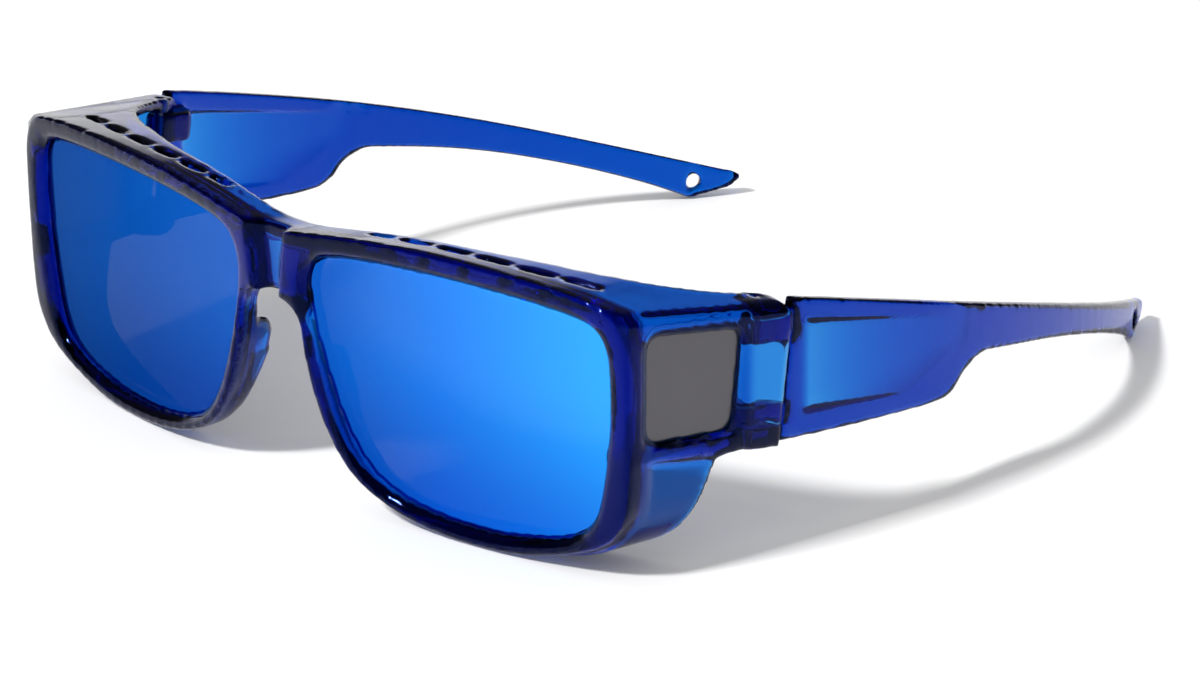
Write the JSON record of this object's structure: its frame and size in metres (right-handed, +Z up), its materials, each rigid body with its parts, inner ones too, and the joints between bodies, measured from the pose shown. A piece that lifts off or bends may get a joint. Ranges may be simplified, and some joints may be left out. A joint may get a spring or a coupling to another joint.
{
  "type": "fitover sunglasses",
  "caption": "Translucent blue fit-over sunglasses with a moulded wrap frame, mirrored front lenses, grey side windows, vent slots and folding temples",
  "frame": {"origin": "middle of the bounding box at its base, on the surface the glasses rest on", "axes": "X across from the wearer's right to the wearer's left, Y from the lenses to the temple tips, Z up"},
  "size_m": [0.155, 0.164, 0.0493],
  "materials": {
    "frame_plastic": "clear tinted blue polycarbonate, polished",
    "mirror_lens": "blue mirror coating on a dark lens",
    "grey_lens": "neutral grey tint",
    "pin_steel": "plain steel pin"
  },
  "bodies": {
    "front": {"front_frame": "frame_plastic", "lens_left": "mirror_lens", "lens_right": "mirror_lens", "side_lens_left": "grey_lens", "side_lens_right": "grey_lens", "hinge_pin_upper_left": "pin_steel", "hinge_pin_lower_left": "pin_steel", "hinge_pin_upper_right": "pin_steel", "hinge_pin_lower_right": "pin_steel"},
    "left_temple": {"temple_left": "frame_plastic"},
    "right_temple": {"temple_right": "frame_plastic"}
  },
  "joints": [
    {"name": "left_temple_fold", "type": "hinge", "parent": "front", "child": "left_temple", "pos_m": [0.0715, -0.04275, 0.0293], "axis": [0, 0.1201, 0.9928], "range_deg": [0, 88]},
    {"name": "right_temple_fold", "type": "hinge", "parent": "front", "child": "right_temple", "pos_m": [-0.0715, -0.04275, 0.0293], "axis": [0, -0.1201, -0.9928], "range_deg": [0, 72]}
  ]
}
